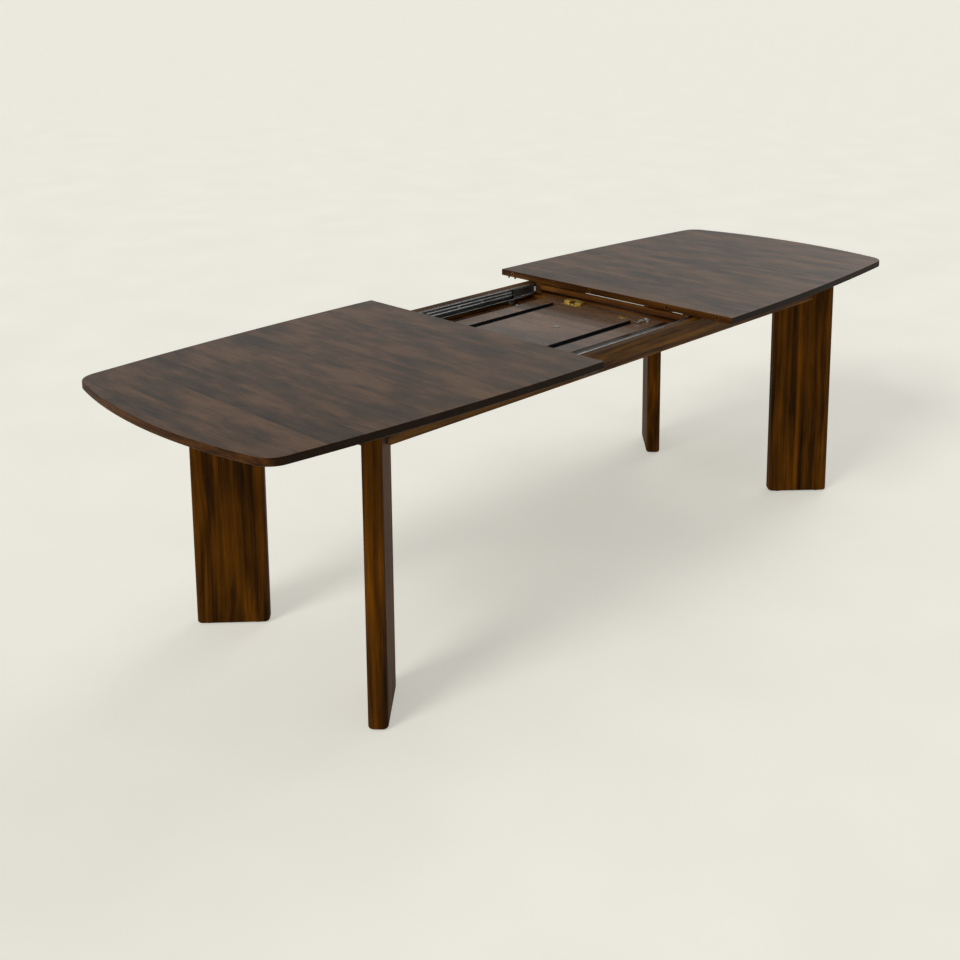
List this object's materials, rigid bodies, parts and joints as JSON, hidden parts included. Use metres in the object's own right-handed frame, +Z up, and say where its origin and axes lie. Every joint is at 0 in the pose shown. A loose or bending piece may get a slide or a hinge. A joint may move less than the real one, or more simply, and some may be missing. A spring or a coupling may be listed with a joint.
{
  "type": "extending dining table",
  "caption": "Dining table with bowed edges whose top slides apart on ball-bearing slides over plank legs, with a folding leaf stored between the halves that swings up and unfolds.",
  "frame": {"origin": "on the floor under the middle of the table", "axes": "+X along the length, the way the right half slides out; +Y to the back; +Z up"},
  "size_m": [2.67, 0.913, 0.75],
  "materials": {
    "leg_wood": "dark stained walnut veneer, satin lacquer",
    "apron_wood": "dark stained walnut veneer, satin lacquer",
    "inner_wood": "stained hardwood, thin lacquer",
    "top_wood": "dark stained walnut veneer, silk lacquer",
    "leaf_wood": "dark stained walnut veneer, satin lacquer",
    "black_steel": "black powder coat",
    "slide_steel": "zinc plated rolled steel",
    "bright_steel": "zinc plated",
    "chrome_plate": "chrome plated",
    "brass": "satin brass",
    "white_plastic": "moulded nylon",
    "black_rubber": "moulded"
  },
  "bodies": {
    "frame": {"leg_front_left": "leg_wood", "leg_front_right": "leg_wood", "leg_back_left": "leg_wood", "leg_back_right": "leg_wood", "apron_front": "apron_wood", "apron_back": "apron_wood", "end_rails": "inner_wood", "corner_blocks": "inner_wood", "shadow_plates": "black_steel", "leg_bolts": "bright_steel", "foot_glides": "black_rubber", "cross_rails": "inner_wood", "rail_hangers": "black_steel", "bay_rails": "inner_wood", "slide_channels": "slide_steel", "slide_screws": "bright_steel", "glide_pads": "white_plastic", "pivot_brackets": "black_steel", "leaf_rests": "black_steel"},
    "left_half": {"top_left": "top_wood", "runners_left": "inner_wood", "slide_members_left": "slide_steel", "inner_bar_left": "inner_wood", "battens_left": "inner_wood", "bumpers_left": "white_plastic", "alignment_pins": "bright_steel", "latch_bases_left": "chrome_plate", "screws_left": "bright_steel"},
    "right_half": {"top_right": "top_wood", "runners_right": "inner_wood", "slide_members_right": "slide_steel", "inner_bar_right": "inner_wood", "battens_right": "inner_wood", "bumpers_right": "white_plastic", "pin_bushes": "brass", "keepers_right": "chrome_plate", "screws_right": "bright_steel"},
    "left_cages": {"ball_cages_left": "slide_steel"},
    "right_cages": {"ball_cages_right": "slide_steel"},
    "front_latch": {"latch_lever_front": "chrome_plate"},
    "back_latch": {"latch_lever_back": "chrome_plate"},
    "leaf_latch_lower": {"leaf_lever_lower": "chrome_plate"},
    "leaf_latch_upper": {"leaf_lever_upper": "chrome_plate"},
    "swing_a": {"swing_arms_a": "black_steel", "swing_shaft": "bright_steel"},
    "swing_b": {"swing_arms_b": "black_steel"},
    "leaf_lower": {"leaf_lower_board": "leaf_wood", "leaf_lower_stiffeners": "black_steel", "leaf_brackets": "black_steel", "leaf_lower_pins": "bright_steel", "leaf_lower_cups": "brass", "leaf_lower_locks": "chrome_plate"},
    "leaf_upper": {"leaf_upper_board": "leaf_wood", "leaf_upper_stiffeners": "black_steel", "leaf_upper_pins": "bright_steel", "leaf_upper_cups": "brass", "leaf_upper_locks": "chrome_plate", "leaf_catch": "brass", "magnet_disc": "bright_steel", "brass_disc": "brass"}
  },
  "joints": [
    {"name": "left_slide", "type": "slide", "parent": "frame", "child": "left_half", "axis": [-1, 0, 0], "range_m": [-0.2848, 0]},
    {"name": "right_slide", "type": "slide", "parent": "frame", "child": "right_half", "axis": [1, 0, 0], "range_m": [-0.2848, 0]},
    {"name": "left_cage_slide", "type": "slide", "parent": "frame", "child": "left_cages", "axis": [-1, 0, 0], "range_m": [-0.1424, 0]},
    {"name": "right_cage_slide", "type": "slide", "parent": "frame", "child": "right_cages", "axis": [1, 0, 0], "range_m": [-0.1424, 0]},
    {"name": "leaf_swing", "type": "hinge", "parent": "frame", "child": "swing_a", "pos_m": [0, -0.06, 0.6475], "axis": [1, 0, 0], "range_deg": [0, 144.76]},
    {"name": "leaf_swing_b", "type": "hinge", "parent": "frame", "child": "swing_b", "pos_m": [0, 0, 0.6475], "axis": [1, 0, 0], "range_deg": [0, 144.76]},
    {"name": "leaf_level", "type": "hinge", "parent": "swing_a", "child": "leaf_lower", "pos_m": [0, 0.06564, 0.6475], "axis": [1, 0, 0], "range_deg": [-144.76, 0]},
    {"name": "leaf_unfold", "type": "hinge", "parent": "leaf_lower", "child": "leaf_upper", "pos_m": [0, 0.22825, 0.67775], "axis": [-1, 0, 0], "range_deg": [0, 180]},
    {"name": "front_latch_turn", "type": "hinge", "parent": "left_half", "child": "front_latch", "pos_m": [-0.3125, -0.436, 0.726], "axis": [0, 0, -1], "range_deg": [0, 180]},
    {"name": "back_latch_turn", "type": "hinge", "parent": "left_half", "child": "back_latch", "pos_m": [-0.3125, 0.436, 0.726], "axis": [0, 0, 1], "range_deg": [0, 180]},
    {"name": "lower_leaf_latch_turn", "type": "hinge", "parent": "leaf_lower", "child": "leaf_latch_lower", "pos_m": [0.248, -0.17975, 0.6535], "axis": [0, 0, -1], "range_deg": [0, 180]},
    {"name": "upper_leaf_latch_turn", "type": "hinge", "parent": "leaf_upper", "child": "leaf_latch_upper", "pos_m": [0.248, -0.17975, 0.702], "axis": [0, 0, -1], "range_deg": [0, 180]}
  ],
  "couplings": [
    {"joint": "left_cage_slide", "follows": "left_slide", "ratio": 0.5},
    {"joint": "right_cage_slide", "follows": "right_slide", "ratio": 0.5},
    {"joint": "leaf_swing_b", "follows": "leaf_swing", "ratio": 1},
    {"joint": "leaf_level", "follows": "leaf_swing", "ratio": -1},
    {"joint": "leaf_unfold", "follows": "leaf_swing", "ratio": 1.2435}
  ]
}
